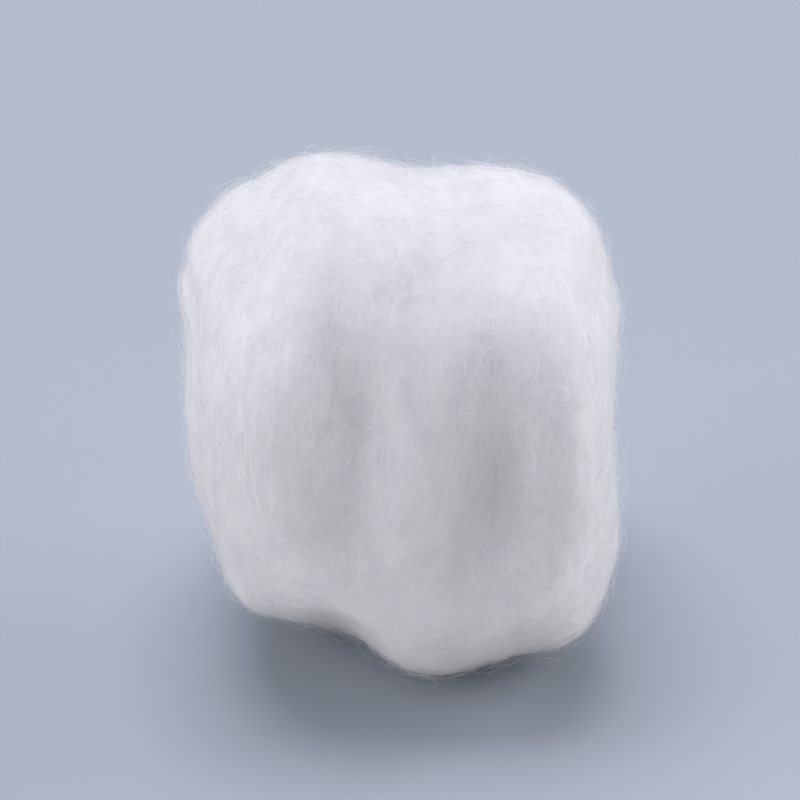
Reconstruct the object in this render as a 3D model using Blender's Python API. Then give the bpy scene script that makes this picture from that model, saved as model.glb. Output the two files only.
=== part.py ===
"""A cotton ball: one length of combed cotton, rolled up on itself into a soft, uneven barrel.

The roll's axis lies along X, its front faces -Y, and it rests on a small flat at z = 0.
Lengths are in metres. A turn is an angle about the roll's axis in degrees, from the front (0)
over the top (90) and the back (180) to the underside (270). Along runs from -1 at the barrel's
left end to 1 at its right one.
"""

import math
from collections import namedtuple

import bmesh
import bpy
from mathutils import Vector, noise

# The barrel before its lobes and hollows
WIDTH = 0.0357
DIAMETER = 0.0400
LEFT_FULLNESS = 2.5  # 2 rounds an end like an ellipsoid, 4 makes it nearly a disc
RIGHT_FULLNESS = 4.0
FULLNESS_CHANGES = (-0.6, 0.6)  # the sideways part of a direction from the barrel's centre

# The left half rides above the right one, and its end higher still
LEFT_HALF_LIFT = 0.0021
LEFT_END_LIFT = 0.0026
HALVES_PART = (0.15, -0.45)  # along

REST_DEPTH = 0.0011  # how deep the ball settles on its flat

# Lobes (rise above 0) and hollows (rise below 0) of the rolled cotton. Reach is measured like
# along, and arc like a turn, out to where a lobe has lost about two thirds of its rise.
Lobe = namedtuple("Lobe", "along turn rise reach arc")
LOBES = {
    "left rim": Lobe(-0.54, 23, 0.0010, 0.18, 46),
    "left low hollow": Lobe(-0.92, 300, -0.0006, 0.12, 40),
    "left shoulder": Lobe(-0.80, 98, 0.0008, 0.20, 46),
    "middle ridge": Lobe(0.07, -15, 0.0006, 0.11, 36),
    "left hollow": Lobe(-0.24, 17, -0.0029, 0.18, 27),
    "right hollow": Lobe(0.44, 11, -0.0040, 0.24, 26),
    "upper hollow": Lobe(0.05, 36, -0.0009, 0.20, 18),
    "right belly": Lobe(0.45, -17, 0.0013, 0.26, 13),
    "top": Lobe(0.34, 116, 0.0005, 0.46, 46),
    "foot": Lobe(0.22, 302, 0.0011, 0.26, 26),
    "right foot": Lobe(0.80, 304, 0.0012, 0.15, 24),
    "left foot": Lobe(-0.67, 300, 0.0014, 0.11, 20),
    "foot notch": Lobe(-0.28, 304, -0.0025, 0.17, 20),
    "left underside": Lobe(-0.40, 262, 0.0020, 0.34, 24),
    "back hollow": Lobe(-0.12, 190, -0.0014, 0.24, 34),
    "back ridge": Lobe(0.34, 182, 0.0007, 0.20, 44),
    "back left lobe": Lobe(-0.62, 172, 0.0007, 0.24, 38),
    "back right hollow": Lobe(0.68, 200, -0.0010, 0.20, 34),
}

# The rolled layers, which show at both ends as a soft spiral round a dimple
LAYER_PITCH = 0.0052
LAYER_GROOVE_DEPTH = 0.0006
LAYER_GROOVE_WIDTH = 0.0016
LAYERS_FADE = (0.30, 0.54)  # shares of the barrel's radius
DIMPLE_DEPTH = 0.0014
DIMPLE_RADIUS = 0.0034
END_BEGINS = (0.5, 0.85)  # along, from the barrel's side to its end

# The last layer ends in a feathered lap across the lower back
LAP_TURN = 226
LAP_WANDER = 9
LAP_WANDER_LENGTH = 0.011
LAP_RISE = 0.0006
LAP_EDGE_ARC = 15
LAP_FADE_ARC = 55
LAP_BEGINS = (0.5, 0.95)  # shares of the barrel's radius, from an end's middle to its side

# The slow unevenness of hand-soft cotton
UNEVEN_RISE = 0.0007
UNEVEN_LENGTH = 0.0095

GRID = 27  # squares along each edge of the cube that the ball is rounded from

COTTON_COLOUR = (0.87, 0.87, 0.91, 1.0)
COTTON_ROUGHNESS = 0.95

HALF_WIDTH = WIDTH / 2
RADIUS = DIAMETER / 2


def smooth_step(value, limits):
    """Rises smoothly from 0 at the first limit to 1 at the second."""
    low, high = limits
    share = min(max((value - low) / (high - low), 0.0), 1.0)
    return share * share * (3 - 2 * share)


def bell(distance):
    return math.exp(-distance * distance)


def turn_between(turn, other):
    """The signed angle from other to turn, in degrees from -180 to 180."""
    return (turn - other + 180) % 360 - 180


def barrel_point(direction):
    """Where a ray from the barrel's centre leaves the plain barrel."""
    right_share = smooth_step(direction.x, FULLNESS_CHANGES)
    fullness = LEFT_FULLNESS + (RIGHT_FULLNESS - LEFT_FULLNESS) * right_share
    across = math.hypot(direction.y, direction.z) / RADIUS
    reach = (abs(direction.x / HALF_WIDTH) ** fullness + across**fullness) ** (-1 / fullness)
    return direction * reach


def lobes_rise(along, turn):
    return sum(
        lobe.rise
        * bell((along - lobe.along) / lobe.reach)
        * bell(turn_between(turn, lobe.turn) / lobe.arc)
        for lobe in LOBES.values()
    )


def lap_rise(x, out, turn):
    """The step where the last layer ends, and its slow fall behind the step."""
    edge = LAP_TURN + LAP_WANDER * noise.noise(Vector((x / LAP_WANDER_LENGTH, 0, 0)))
    past_edge = turn_between(turn, edge)
    if past_edge > 0:
        step = 1 - smooth_step(past_edge, (0, LAP_EDGE_ARC))
    else:
        step = math.exp(past_edge / LAP_FADE_ARC)
    return LAP_RISE * step * smooth_step(out / RADIUS, LAP_BEGINS)


def layers_rise(along, out, turn):
    """The spiral groove between the layers at an end, and the dimple at its middle."""
    side = math.copysign(1, along)
    turns_out = out / LAYER_PITCH - side * turn_between(turn, LAP_TURN) / 360
    from_groove = (turns_out % 1 - 0.5) * LAYER_PITCH
    groove = LAYER_GROOVE_DEPTH * bell(from_groove / LAYER_GROOVE_WIDTH)
    groove *= 1 - smooth_step(out / RADIUS, LAYERS_FADE)
    groove *= smooth_step(out, (DIMPLE_RADIUS / 2, LAYER_PITCH))
    dimple = DIMPLE_DEPTH * bell(out / DIMPLE_RADIUS)
    return -(groove + dimple) * smooth_step(abs(along), END_BEGINS)


def relief(point):
    """How far the cotton stands out from the plain barrel at a point of it."""
    along = point.x / HALF_WIDTH
    out = math.hypot(point.y, point.z)
    turn = math.degrees(math.atan2(point.z, -point.y))
    rise = lobes_rise(along, turn)
    rise += lap_rise(point.x, out, turn)
    rise += layers_rise(along, out, turn)
    return rise + UNEVEN_RISE * noise.noise(point / UNEVEN_LENGTH)


def round_the_cube(mesh):
    """Moves the cube's grid onto the barrel, with its squares kept nearly even."""
    for vertex in mesh.verts:
        even = Vector([math.tan(c * math.pi / 4) for c in vertex.co])
        vertex.co = barrel_point(even.normalized())


def raise_the_relief(mesh):
    mesh.normal_update()
    moves = [vertex.normal * relief(vertex.co) for vertex in mesh.verts]
    for vertex, move in zip(mesh.verts, moves):
        vertex.co += move


def lift_the_left_half(mesh):
    for vertex in mesh.verts:
        along = vertex.co.x / HALF_WIDTH
        vertex.co.z += LEFT_HALF_LIFT * smooth_step(along, HALVES_PART)
        vertex.co.z += LEFT_END_LIFT * min(along, 0.0) ** 4


def settle_on_the_flat(mesh):
    """Cuts the resting flat, and puts the middle of the ball's box above the origin."""
    floor = min(vertex.co.z for vertex in mesh.verts) + REST_DEPTH
    everything = mesh.verts[:] + mesh.edges[:] + mesh.faces[:]
    cut = bmesh.ops.bisect_plane(
        mesh, geom=everything, plane_co=(0, 0, floor), plane_no=(0, 0, -1), clear_outer=True
    )
    rim = [item for item in cut["geom_cut"] if isinstance(item, bmesh.types.BMEdge)]
    bmesh.ops.edgenet_fill(mesh, edges=rim)
    xs = [vertex.co.x for vertex in mesh.verts]
    ys = [vertex.co.y for vertex in mesh.verts]
    middle = Vector(((min(xs) + max(xs)) / 2, (min(ys) + max(ys)) / 2, floor))
    bmesh.ops.translate(mesh, verts=mesh.verts, vec=-middle)
    bmesh.ops.recalc_face_normals(mesh, faces=mesh.faces)


def cotton_material():
    material = bpy.data.materials.new("cotton")
    material.use_nodes = True
    shader = material.node_tree.nodes["Principled BSDF"]
    shader.inputs["Base Color"].default_value = COTTON_COLOUR
    shader.inputs["Roughness"].default_value = COTTON_ROUGHNESS
    shader.inputs["Metallic"].default_value = 0.0
    return material


def make_cotton_ball():
    mesh = bmesh.new()
    bmesh.ops.create_cube(mesh, size=2)
    bmesh.ops.subdivide_edges(mesh, edges=mesh.edges[:], cuts=GRID - 1, use_grid_fill=True)
    round_the_cube(mesh)
    raise_the_relief(mesh)
    lift_the_left_half(mesh)
    settle_on_the_flat(mesh)
    data = bpy.data.meshes.new("cotton_ball")
    mesh.to_mesh(data)
    mesh.free()
    data.shade_smooth()
    data.materials.append(cotton_material())
    return bpy.data.objects.new("cotton_ball", data)


def main():
    for leftover in list(bpy.data.objects):
        bpy.data.objects.remove(leftover)
    collection = bpy.data.collections.new("cotton ball")
    bpy.context.scene.collection.children.link(collection)
    collection.objects.link(make_cotton_ball())


main()
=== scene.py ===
"""The looks of the cotton ball: a soft body under many thousands of fine, wound fibres.

The roll's axis lies along X and the hollowed front faces -Y. Lengths are in metres, and angles
in degrees. The winding direction runs round the roll's axis, and swirls round both ends.
"""

import math
from collections import namedtuple

import bmesh
import bpy
import numpy as np
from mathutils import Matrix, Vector, noise
from mathutils.bvhtree import BVHTree


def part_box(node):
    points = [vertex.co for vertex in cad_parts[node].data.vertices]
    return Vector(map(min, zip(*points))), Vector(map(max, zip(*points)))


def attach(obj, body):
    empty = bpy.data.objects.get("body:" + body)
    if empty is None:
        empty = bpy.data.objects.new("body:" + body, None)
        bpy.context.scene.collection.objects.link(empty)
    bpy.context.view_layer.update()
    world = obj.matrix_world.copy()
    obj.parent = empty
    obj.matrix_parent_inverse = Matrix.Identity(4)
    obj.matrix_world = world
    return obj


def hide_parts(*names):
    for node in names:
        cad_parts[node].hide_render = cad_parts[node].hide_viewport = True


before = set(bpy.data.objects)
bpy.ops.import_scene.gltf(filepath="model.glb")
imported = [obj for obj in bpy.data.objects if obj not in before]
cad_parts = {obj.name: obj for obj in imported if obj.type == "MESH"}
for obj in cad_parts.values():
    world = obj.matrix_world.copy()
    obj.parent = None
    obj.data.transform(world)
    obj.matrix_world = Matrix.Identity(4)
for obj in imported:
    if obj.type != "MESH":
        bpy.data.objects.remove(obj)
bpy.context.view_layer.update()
ball_low, ball_high = (Vector(corner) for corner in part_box("cotton_ball"))

AXIS = Vector((1.0, 0.0, 0.0))
RADIUS = (ball_high.y - ball_low.y) / 2
HALF_WIDTH = (ball_high.x - ball_low.x) / 2
MIDDLE = (ball_low + ball_high) / 2
LOWEST = 0.00004  # nothing hangs below this height

# The roll's axis, which is higher in the left half and highest at the left end
AXIS_HEIGHT = 0.0193
LEFT_HALF_LIFT = 0.0021
LEFT_END_LIFT = 0.0026
HALVES_PART = (0.15, -0.45)  # shares of half the width

# The body
VOXEL = 0.0006
BODY_SINKS = 0.00020  # the fibres fill the body out to its true size
SMOOTHING_ROUNDS = 6

# Relief of the body: how far it rises, and its size across and along the winding
Relief = namedtuple("Relief", "rise across along")
BODY_RELIEF = [
    Relief(0.00018, 0.0046, 0.0100),
    Relief(0.00010, 0.0015, 0.0090),
    Relief(0.00007, 0.0008, 0.0030),
]

# Where the winding begins to swirl round an end, and where it has done so, in half widths
SWIRL_BEGINS = (0.3, 0.8)

# The edges of the rolled layers, which show at both ends as a spiral crease
LAYER_PITCH = 0.0052
LAST_LAYER_TURN = 226
CREASE_DEPTH = 0.00042
CREASE_WIDTH = 0.0008
CREASE_WAVER = 0.0018  # how far it strays from a true spiral
CREASE_WAVER_SIZE = 0.0065
CREASE_OPEN = 0.7  # its usual share of the full depth
CREASE_VARIES = 1.1  # how much that share changes along it
CREASE_CLOSED = 0.2  # the least share
CREASE_PATCH_SIZE = 0.0075  # of the stretches in which it opens or closes
CREASE_FADES = (0.40, 0.75)  # shares of the ball's radius
CREASE_BEGINS = (0.0010, 0.0030)  # from the axis
END_BEGINS = (0.5, 0.85)  # shares of half the width

# How each kind of fibre lies. It has a number of straight steps. Strays and turns are standard
# deviations in degrees: of its direction at the root from the winding, and of its first bend.
# Lies is its height above the body. Arch is added to that halfway, and tip at its far end.
Fibres = namedtuple("Fibres", "count length steps width strays turns lies arch tip")
RIBBONS = {
    "combed_fibres": Fibres(
        19000, (0.005, 0.011), 6, 0.000020, 15, 5, (0.00002, 0.00018), 0.00010, (0.0, 0.0002)
    ),
    "crossing_fibres": Fibres(
        23000, (0.003, 0.008), 5, 0.000017, 55, 12, (0.00005, 0.00024), 0.00012, (0.0, 0.0003)
    ),
}
TUBES = {
    "fine_fuzz": Fibres(
        31000, (0.0006, 0.0018), 2, 0.000015, 90, 20, (0.0, 0.0001), 0.0, (0.0002, 0.0011)
    ),
    "loose_wisps": Fibres(
        5200, (0.003, 0.010), 7, 0.000015, 50, 20, (0.00005, 0.0003), 0.00030, (0.0, 0.0016)
    ),
}
WIDTH_SPREAD = (0.6, 1.4)  # shares of the width that its kind has
RIBBON_TILT = 22  # how far a ribbon may lean out of the surface
RIBBON_ROUNDING = 0.3  # how round a flat ribbon is shaded
SWAY = 22  # how far whole tufts turn off the winding direction
SWAY_SIZE = 0.0035

COTTON_WHITE = (0.94, 0.94, 0.99, 1.0)
# The body's darker tone is painted shade: the colour takes it where the fine relief is lowest,
# in the grooves between strands and tufts
COTTON_GROOVE_SHADE = (0.89, 0.89, 0.945, 1.0)
FIBRE_WHITE = (0.965, 0.965, 0.998, 1.0)
FIBRE_SHADE = (0.92, 0.92, 0.965, 1.0)
STRAND_SIZE = (0.00045, 0.0040, 0.0040)  # across the winding, and in the plane that it runs in
STRAND_ROUGHNESS = 0.6
TUFTS_SCALE = 450.0
TUFTS_SHARE = 0.45  # of the fine pattern, which is otherwise strands
COTTON_TONES_AT = (0.30, 0.62)  # where that pattern has the painted shade of its grooves, and where the white
BUMP_STRENGTH = 0.6
BUMP_DEPTH = 0.00016
MOTTLING_SCALE = 900.0
FIBRE_TONES_AT = (0.35, 0.60)
SIDES_FILL = 0.88  # of each sixth of a bake map

# The studio. A light's level is how brightly it alone shows a white sheet that faces it.
FLOOR_WHITE = (0.78, 0.78, 0.785, 1.0)
FLOOR_SEEN = (0.40, 0.44, 0.51, 1.0)
HORIZON_SEEN = (0.46, 0.51, 0.59, 1.0)
AIR = (0.99, 0.995, 1.0, 1.0)
AIR_LEVEL = 0.34
LIGHT_ANGLE = 40  # how wide each light looks from the ball
PLAIN_LIGHT = (1.0, 1.0, 1.0)
COOL_LIGHT = (0.93, 0.93, 1.0)
FLOOR_SIZE = 6.0
VIEW_ELEVATION = 30
LENS = 250  # in millimetres, like the sensor
SENSOR = 36
BALL_SHARE = 0.62  # of the picture's height


def smooth_step(value, low, high):
    share = np.clip((value - low) / (high - low), 0.0, 1.0)
    return share * share * (3 - 2 * share)


def axis_height(x):
    """How high the roll's axis runs at a place along it."""
    along = x / HALF_WIDTH
    lift = LEFT_HALF_LIFT * smooth_step(along, *HALVES_PART)
    return AXIS_HEIGHT + lift + LEFT_END_LIFT * np.minimum(along, 0.0) ** 4


def winding_place(point):
    """A point's place in a space that is stretched along the winding, as (across, y, z)."""
    y, z = point.y, point.z - float(axis_height(point.x))
    out = math.hypot(y, z)
    towards_end = float(smooth_step(abs(point.x) / HALF_WIDTH, *SWIRL_BEGINS))
    across = point.x + math.copysign(RADIUS - out, point.x) * towards_end
    return across, y, z


def crease_depth(point):
    """The depth of the spiral crease between the layers' edges at an end."""
    at_end = float(smooth_step(abs(point.x) / HALF_WIDTH, *END_BEGINS))
    if at_end == 0:
        return 0.0
    y, z = point.y, point.z - float(axis_height(point.x))
    out = math.hypot(y, z) + CREASE_WAVER * noise.noise(point / CREASE_WAVER_SIZE)
    turn = math.degrees(math.atan2(z, -y))
    past_lap = (turn - LAST_LAYER_TURN + 180) % 360 - 180
    layers_out = out / LAYER_PITCH - math.copysign(1, point.x) * past_lap / 360
    from_crease = (layers_out % 1 - 0.5) * LAYER_PITCH / CREASE_WIDTH
    depth = CREASE_DEPTH * math.exp(-from_crease * from_crease) * at_end
    openness = CREASE_OPEN + CREASE_VARIES * noise.noise(point / CREASE_PATCH_SIZE)
    depth *= min(max(openness, CREASE_CLOSED), 1.0)
    depth *= float(smooth_step(out, *CREASE_BEGINS))
    return depth * float(1 - smooth_step(out / RADIUS, *CREASE_FADES))


def body_rise(point):
    across, y, z = winding_place(point)
    relief = sum(
        r.rise * noise.noise(Vector((across / r.across, y / r.along, z / r.along)))
        for r in BODY_RELIEF
    )
    return relief - crease_depth(point)


def make_body(cad_ball):
    """The ball's soft mass, remeshed evenly and raised into wound bundles of fibres."""
    body = bpy.data.objects.new("cotton_body", cad_ball.data.copy())
    bpy.context.scene.collection.objects.link(body)
    remesh = body.modifiers.new("even grid", "REMESH")
    remesh.mode = "VOXEL"
    remesh.voxel_size = VOXEL
    remesh.use_smooth_shade = True
    smooth = body.modifiers.new("soft", "SMOOTH")
    smooth.iterations = SMOOTHING_ROUNDS
    finer = body.modifiers.new("finer", "SUBSURF")
    finer.levels = finer.render_levels = 1
    evaluated = body.evaluated_get(bpy.context.evaluated_depsgraph_get())
    data = bpy.data.meshes.new_from_object(evaluated)
    body.modifiers.clear()
    body.data = data
    mesh = bmesh.new()
    mesh.from_mesh(data)
    mesh.normal_update()
    strand = mesh.verts.layers.float_vector.new("strand")
    for vertex in mesh.verts:
        vertex[strand] = winding_place(vertex.co)
    moves = [v.normal * (body_rise(v.co) - BODY_SINKS) for v in mesh.verts]
    for vertex, move in zip(mesh.verts, moves):
        vertex.co += move
        vertex.co.z = max(vertex.co.z, LOWEST)
    mesh.to_mesh(data)
    mesh.free()
    data.shade_smooth()
    return body


class Surface:
    """The body's surface, for fibres to lie on."""

    def __init__(self, body):
        data = body.data
        data.calc_loop_triangles()
        self.points = np.array([v.co for v in data.vertices])
        self.normals = np.array([v.normal for v in data.vertices])
        self.triangles = np.array([t.vertices for t in data.loop_triangles])
        corners = self.points[self.triangles]
        spans = np.cross(corners[:, 1] - corners[:, 0], corners[:, 2] - corners[:, 0])
        areas = np.linalg.norm(spans, axis=1)
        self.chances = areas / areas.sum()
        self.tree = BVHTree.FromPolygons(self.points.tolist(), self.triangles.tolist())

    def scatter(self, count, chance):
        """Random points of the surface, with their smooth normals."""
        picked = chance.choice(len(self.triangles), count, p=self.chances)
        u, v = chance.random((2, count, 1))
        flip = u + v > 1
        u, v = np.where(flip, 1 - u, u), np.where(flip, 1 - v, v)
        a, b, c = (self.triangles[picked][:, k] for k in range(3))
        points = self.points[a] * (1 - u - v) + self.points[b] * u + self.points[c] * v
        normals = self.normals[a] * (1 - u - v) + self.normals[b] * u + self.normals[c] * v
        return points, unit(normals)

    def nearest(self, points):
        """The surface's points and smooth normals nearest to the given ones."""
        found = [self.tree.find_nearest(Vector(point)) for point in points.tolist()]
        places = np.array([f[0] for f in found])
        corners = self.triangles[[f[2] for f in found]]
        return places, unit(self.normals[corners].sum(axis=1))


def unit(vectors):
    return vectors / np.maximum(np.linalg.norm(vectors, axis=-1, keepdims=True), 1e-12)


def turned(vectors, axes, degrees):
    """Vectors turned about axes that are square to them."""
    angle = np.radians(degrees)[:, None]
    return vectors * np.cos(angle) + np.cross(axes, vectors) * np.sin(angle)


def winding_direction(points, normals):
    """The way the cotton is wound at each point, in the surface."""
    out = points.copy()
    out[:, 0] = 0
    out[:, 2] -= axis_height(points[:, 0])
    around = np.cross(np.array(AXIS), unit(out))
    around = unit(around - normals * (around * normals).sum(axis=1, keepdims=True))
    sway = [SWAY * noise.noise(Vector(point) / SWAY_SIZE) for point in points.tolist()]
    return turned(around, normals, sway)


def lay_fibres(surface, kind, chance):
    """The paths of one kind of fibre: an array of places and one of surface normals."""
    count = kind.count
    points, normals = surface.scatter(count, chance)
    directions = winding_direction(points, normals)
    directions *= chance.choice((-1.0, 1.0), (count, 1))
    directions = turned(directions, normals, chance.normal(0, kind.strays, count))
    steps = chance.uniform(*kind.length, count) / kind.steps
    bend = chance.normal(0, kind.turns, count)
    low = chance.uniform(*kind.lies, count)
    arch = kind.arch * chance.random(count)
    tip = kind.tip[0] + (kind.tip[1] - kind.tip[0]) * chance.random(count) ** 2
    places, ups = [], []
    for step in range(kind.steps + 1):
        share = step / kind.steps
        height = low + arch * math.sin(math.pi * share) + tip * share * share
        places.append(points + normals * height[:, None])
        ups.append(normals)
        moved = points + directions * steps[:, None]
        points, new_normals = surface.nearest(moved)
        directions = unit(
            directions - new_normals * (directions * new_normals).sum(axis=1, keepdims=True)
        )
        normals = new_normals
        bend = bend + chance.normal(0, kind.turns / 2, count)
        directions = turned(directions, normals, bend)
    places = np.stack(places, axis=1)
    places[:, :, 2] = np.maximum(places[:, :, 2], LOWEST + kind.width)
    return places, np.stack(ups, axis=1)


def mesh_object(name, points, faces_by_size, normals=None):
    """A smooth mesh from a point array and arrays of faces that have 3 or 4 corners."""
    data = bpy.data.meshes.new(name)
    loops = np.concatenate([faces.ravel() for faces in faces_by_size])
    sizes = np.concatenate([np.full(len(faces), faces.shape[1]) for faces in faces_by_size])
    data.vertices.add(len(points))
    data.vertices.foreach_set("co", points.ravel().astype(np.float32))
    data.loops.add(len(loops))
    data.loops.foreach_set("vertex_index", loops.astype(np.int32))
    data.polygons.add(len(sizes))
    starts = np.concatenate([[0], np.cumsum(sizes)[:-1]])
    data.polygons.foreach_set("loop_start", starts.astype(np.int32))
    data.update(calc_edges=True)
    data.validate()
    data.shade_smooth()
    if normals is not None:
        data.normals_split_custom_set_from_vertices(normals.tolist())
    piece = bpy.data.objects.new(name, data)
    bpy.context.scene.collection.objects.link(piece)
    return piece


def path_directions(places):
    ahead = np.empty_like(places)
    ahead[:, 1:-1] = places[:, 2:] - places[:, :-2]
    ahead[:, 0] = places[:, 1] - places[:, 0]
    ahead[:, -1] = places[:, -1] - places[:, -2]
    return unit(ahead)


def ribbon_mesh(name, places, ups, width, chance):
    """Flat fibres, pointed at both ends, that face away from the surface."""
    count, rings = places.shape[:2]
    ahead = path_directions(places)
    sides = unit(np.cross(ahead, ups))
    lean = np.radians(chance.uniform(-RIBBON_TILT, RIBBON_TILT, (count, 1, 1)))
    edges = sides * np.cos(lean) + unit(np.cross(sides, ahead)) * np.sin(lean)
    half = width / 2 * chance.uniform(*WIDTH_SPREAD, (count, 1, 1))
    left = places[:, 1:-1] - edges[:, 1:-1] * half
    right = places[:, 1:-1] + edges[:, 1:-1] * half
    points = np.concatenate([places[:, :1], left, right, places[:, -1:]], axis=1)
    rounding = sides[:, 1:-1] * RIBBON_ROUNDING
    normals = np.concatenate(
        [ups[:, :1], ups[:, 1:-1] - rounding, ups[:, 1:-1] + rounding, ups[:, -1:]], axis=1
    )
    inner = rings - 2
    first = np.arange(count)[:, None] * (2 * inner + 2)
    k = np.arange(inner - 1)[None, :]
    a, b = first + 1 + k, first + 1 + inner + k
    quads = np.stack([a, b, b + 1, a + 1], axis=-1).reshape(-1, 4)
    starts = np.concatenate([first, first + 1 + inner, first + 1], axis=1)
    ends = np.concatenate([first + 2 * inner + 1, first + inner, first + 2 * inner], axis=1)
    triangles = np.concatenate([starts, ends])
    normals = unit(normals).reshape(-1, 3)
    return mesh_object(name, points.reshape(-1, 3), [quads, triangles], normals)


def tube_mesh(name, places, ups, width, chance):
    """Three-sided fibres, pointed at both ends."""
    count, rings = places.shape[:2]
    ahead = path_directions(places)
    sides = unit(np.cross(ahead, ups))
    tops = np.cross(sides, ahead)
    half = width / 2 * chance.uniform(*WIDTH_SPREAD, (count, 1, 1))
    corners = []
    for corner in range(3):
        angle = math.radians(120 * corner)
        offset = sides * math.cos(angle) + tops * math.sin(angle)
        corners.append((places + offset * half)[:, 1:-1])
    points = np.concatenate([places[:, :1], *corners, places[:, -1:]], axis=1)
    inner = rings - 2
    first = np.arange(count)[:, None] * (3 * inner + 2)
    last = first + 3 * inner + 1
    k = np.arange(inner - 1)[None, :]
    quads, triangles = [], []
    for corner in range(3):
        a = first + 1 + corner * inner
        b = first + 1 + (corner + 1) % 3 * inner
        quads.append(np.stack([a + k, a + k + 1, b + k + 1, b + k], axis=-1).reshape(-1, 4))
        triangles.append(np.concatenate([first, a, b], axis=1))
        triangles.append(np.concatenate([last, b + inner - 1, a + inner - 1], axis=1))
    faces_by_size = [np.concatenate(quads), np.concatenate(triangles)]
    return mesh_object(name, points.reshape(-1, 3), faces_by_size)


def add_bake_map(data):
    """Maps each face onto one of a cube's six sides, as seen from the ball's middle."""
    points = np.empty((len(data.vertices), 3))
    centres = np.empty((len(data.polygons), 3))
    corners = np.empty(len(data.loops), dtype=np.int32)
    sizes = np.empty(len(data.polygons), dtype=np.int32)
    data.vertices.foreach_get("co", points.ravel())
    data.polygons.foreach_get("center", centres.ravel())
    data.loops.foreach_get("vertex_index", corners)
    data.polygons.foreach_get("loop_total", sizes)
    centres -= np.array(MIDDLE)
    faces = np.arange(len(sizes))
    axis = np.abs(centres).argmax(axis=1)
    positive = centres[faces, axis] > 0
    axis, positive = np.repeat(axis, sizes), np.repeat(positive, sizes)
    seen = points[corners] - np.array(MIDDLE)
    loops = np.arange(len(corners))
    depth = np.abs(seen[loops, axis])
    across = np.clip(SIDES_FILL * seen[loops, (axis + 1) % 3] / depth, -1, 1)
    up = np.clip(SIDES_FILL * seen[loops, (axis + 2) % 3] / depth, -1, 1)
    places = np.stack([(axis + 0.5 + across / 2) / 3, (positive + 0.5 + up / 2) / 2], axis=1)
    data.uv_layers.new(name="OFBake").data.foreach_set("uv", places.ravel().astype(np.float32))


def principled(name, **values):
    material = bpy.data.materials.new(name)
    material.use_nodes = True
    shader = material.node_tree.nodes["Principled BSDF"]
    for key, value in values.items():
        shader.inputs[key.replace("_", " ")].default_value = value
    return material, material.node_tree, shader


def noise_node(tree, vector, scale, detail, roughness=0.5):
    node = tree.nodes.new("ShaderNodeTexNoise")
    node.inputs["Scale"].default_value = scale
    node.inputs["Detail"].default_value = detail
    node.inputs["Roughness"].default_value = roughness
    tree.links.new(vector, node.inputs["Vector"])
    return node.outputs["Fac"]


def tones_node(tree, value, positions, colours):
    """Turns a value into a colour, between the two that are reached at the positions."""
    node = tree.nodes.new("ShaderNodeValToRGB")
    for element, position, colour in zip(node.color_ramp.elements, positions, colours):
        element.position = position
        element.color = colour
    tree.links.new(value, node.inputs["Fac"])
    return node.outputs["Color"]


def body_material():
    """Matt cotton: light soaks in, fine strands and small tufts show in the bump, and the
    colour has painted shade where they are lowest.
    """
    material, tree, shader = principled(
        "cotton_mass",
        Roughness=0.95,
        Subsurface_Weight=1.0,
        Subsurface_Scale=0.0018,
        Subsurface_Radius=(1.0, 1.0, 1.0),
        Sheen_Weight=0.6,
        Sheen_Roughness=0.6,
    )
    place = tree.nodes.new("ShaderNodeAttribute")
    place.attribute_name = "strand"
    stretch = tree.nodes.new("ShaderNodeMapping")
    stretch.inputs["Scale"].default_value = tuple(1 / size for size in STRAND_SIZE)
    tree.links.new(place.outputs["Vector"], stretch.inputs["Vector"])
    strands = noise_node(
        tree, stretch.outputs["Vector"], scale=1.0, detail=5.0, roughness=STRAND_ROUGHNESS
    )
    tufts = noise_node(tree, place.outputs["Vector"], TUFTS_SCALE, detail=4.0)
    both = tree.nodes.new("ShaderNodeMix")
    both.inputs["Factor"].default_value = TUFTS_SHARE
    tree.links.new(strands, both.inputs["A"])
    tree.links.new(tufts, both.inputs["B"])
    height = both.outputs["Result"]
    # Painted shade: the colour darkens where the bump's height is lowest
    tones = tones_node(tree, height, COTTON_TONES_AT, (COTTON_GROOVE_SHADE, COTTON_WHITE))
    tree.links.new(tones, shader.inputs["Base Color"])
    bump = tree.nodes.new("ShaderNodeBump")
    bump.inputs["Strength"].default_value = BUMP_STRENGTH
    bump.inputs["Distance"].default_value = BUMP_DEPTH
    tree.links.new(height, bump.inputs["Height"])
    tree.links.new(bump.outputs["Normal"], shader.inputs["Normal"])
    return material


def fibre_material():
    """Single fibres: brighter and duller stretches alternate along and across them."""
    material, tree, shader = principled(
        "cotton_fibre", Roughness=0.8, Sheen_Weight=0.4, Sheen_Roughness=0.5
    )
    place = tree.nodes.new("ShaderNodeTexCoord").outputs["Object"]
    mottling = noise_node(tree, place, MOTTLING_SCALE, detail=3.0)
    tones = tones_node(tree, mottling, FIBRE_TONES_AT, (FIBRE_SHADE, FIBRE_WHITE))
    tree.links.new(tones, shader.inputs["Base Color"])
    return material


def add_fibres(surface):
    material = fibre_material()
    for seed, (name, kind) in enumerate({**RIBBONS, **TUBES}.items()):
        chance = np.random.default_rng(seed)
        places, ups = lay_fibres(surface, kind, chance)
        shape = ribbon_mesh if name in RIBBONS else tube_mesh
        piece = shape(name, places, ups, kind.width, chance)
        add_bake_map(piece.data)
        piece.data.materials.append(material)
        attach(piece, "root")


def background_share(tree):
    """1 for rays that see the background itself, and 0 for light that falls on the ball."""
    rays = tree.nodes.new("ShaderNodeLightPath")
    total = rays.outputs["Is Camera Ray"]
    for name in ("Is Glossy Ray", "Is Transmission Ray"):
        either = tree.nodes.new("ShaderNodeMath")
        either.operation = "MAXIMUM"
        tree.links.new(total, either.inputs[0])
        tree.links.new(rays.outputs[name], either.inputs[1])
        total = either.outputs[0]
    return total


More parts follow.
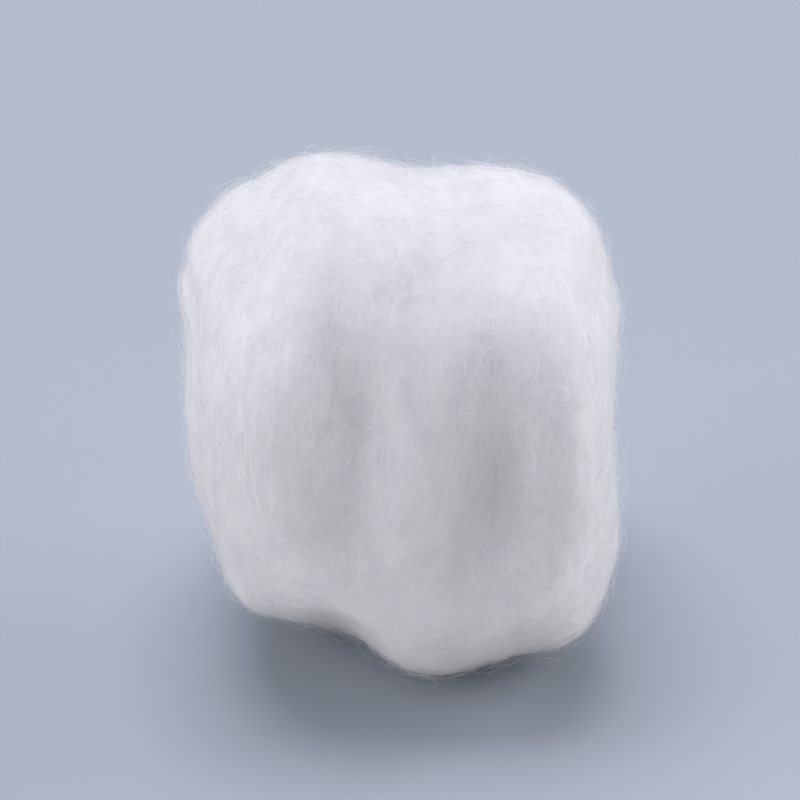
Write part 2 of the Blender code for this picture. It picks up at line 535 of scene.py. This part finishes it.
def mix_by_share(tree, lighting, seen, output):
    mix = tree.nodes.new("ShaderNodeMixShader")
    tree.links.new(background_share(tree), mix.inputs[0])
    tree.links.new(lighting, mix.inputs[1])
    tree.links.new(seen, mix.inputs[2])
    tree.links.new(mix.outputs[0], output)


def add_floor():
    data = bpy.data.meshes.new("studio_floor")
    mesh = bmesh.new()
    bmesh.ops.create_grid(mesh, x_segments=1, y_segments=1, size=FLOOR_SIZE / 2)
    mesh.to_mesh(data)
    mesh.free()
    floor = bpy.data.objects.new("studio_floor", data)
    bpy.context.scene.collection.objects.link(floor)
    material, tree, white = principled("studio_paper", Base_Color=FLOOR_WHITE, Roughness=0.9)
    seen = tree.nodes.new("ShaderNodeBsdfDiffuse")
    seen.inputs["Color"].default_value = FLOOR_SEEN
    output = tree.nodes["Material Output"].inputs["Surface"]
    mix_by_share(tree, white.outputs["BSDF"], seen.outputs["BSDF"], output)
    data.materials.append(material)


def add_light(name, towards, level, colour=PLAIN_LIGHT):
    """A soft light far away, which towards points to."""
    light = bpy.data.lights.new(name, "SUN")
    light.angle = math.radians(LIGHT_ANGLE)
    light.energy = level * math.pi
    light.color = colour
    lamp = bpy.data.objects.new(name, light)
    lamp.location = MIDDLE + Vector(towards)
    lamp.rotation_euler = Vector(towards).to_track_quat("Z", "Y").to_euler()
    bpy.context.scene.collection.objects.link(lamp)


def add_world():
    world = bpy.data.worlds.new("studio_air")
    world.use_nodes = True
    tree = world.node_tree
    air = tree.nodes["Background"]
    air.inputs["Color"].default_value = AIR
    air.inputs["Strength"].default_value = AIR_LEVEL
    horizon = tree.nodes.new("ShaderNodeBackground")
    horizon.inputs["Color"].default_value = HORIZON_SEEN
    output = tree.nodes["World Output"].inputs["Surface"]
    mix_by_share(tree, air.outputs[0], horizon.outputs[0], output)
    bpy.context.scene.world = world


def add_lights():
    add_light("overhead", (-0.10, 0.25, 1.0), level=0.62, colour=COOL_LIGHT)
    add_light("left", (-0.8, -0.1, 0.3), level=0.29)
    add_light("right", (0.8, -0.1, 0.3), level=0.10)
    add_light("right_back", (0.8, 0.4, 0.3), level=0.34)
    add_world()


def add_camera():
    """A long lens, square to the roll's axis, that looks down at the ball's middle."""
    height = RADIUS * 2 / BALL_SHARE
    distance = height * LENS / SENSOR
    elevation = math.radians(VIEW_ELEVATION)
    towards = Vector((0, math.cos(elevation), -math.sin(elevation)))
    camera = bpy.data.objects.new("camera", bpy.data.cameras.new("camera"))
    camera.data.lens = LENS
    camera.data.sensor_width = SENSOR
    camera.data.clip_start = 0.01
    camera.location = MIDDLE - towards * distance
    camera.rotation_euler = towards.to_track_quat("-Z", "Y").to_euler()
    bpy.context.scene.collection.objects.link(camera)
    bpy.context.scene.camera = camera


def main():
    body = make_body(bpy.data.objects["cotton_ball"])
    add_bake_map(body.data)
    body.data.materials.clear()
    body.data.materials.append(body_material())
    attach(body, "root")
    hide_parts("cotton_ball")
    add_fibres(Surface(body))
    add_floor()
    add_lights()
    add_camera()
    bpy.context.scene.view_settings.view_transform = "Standard"


main()
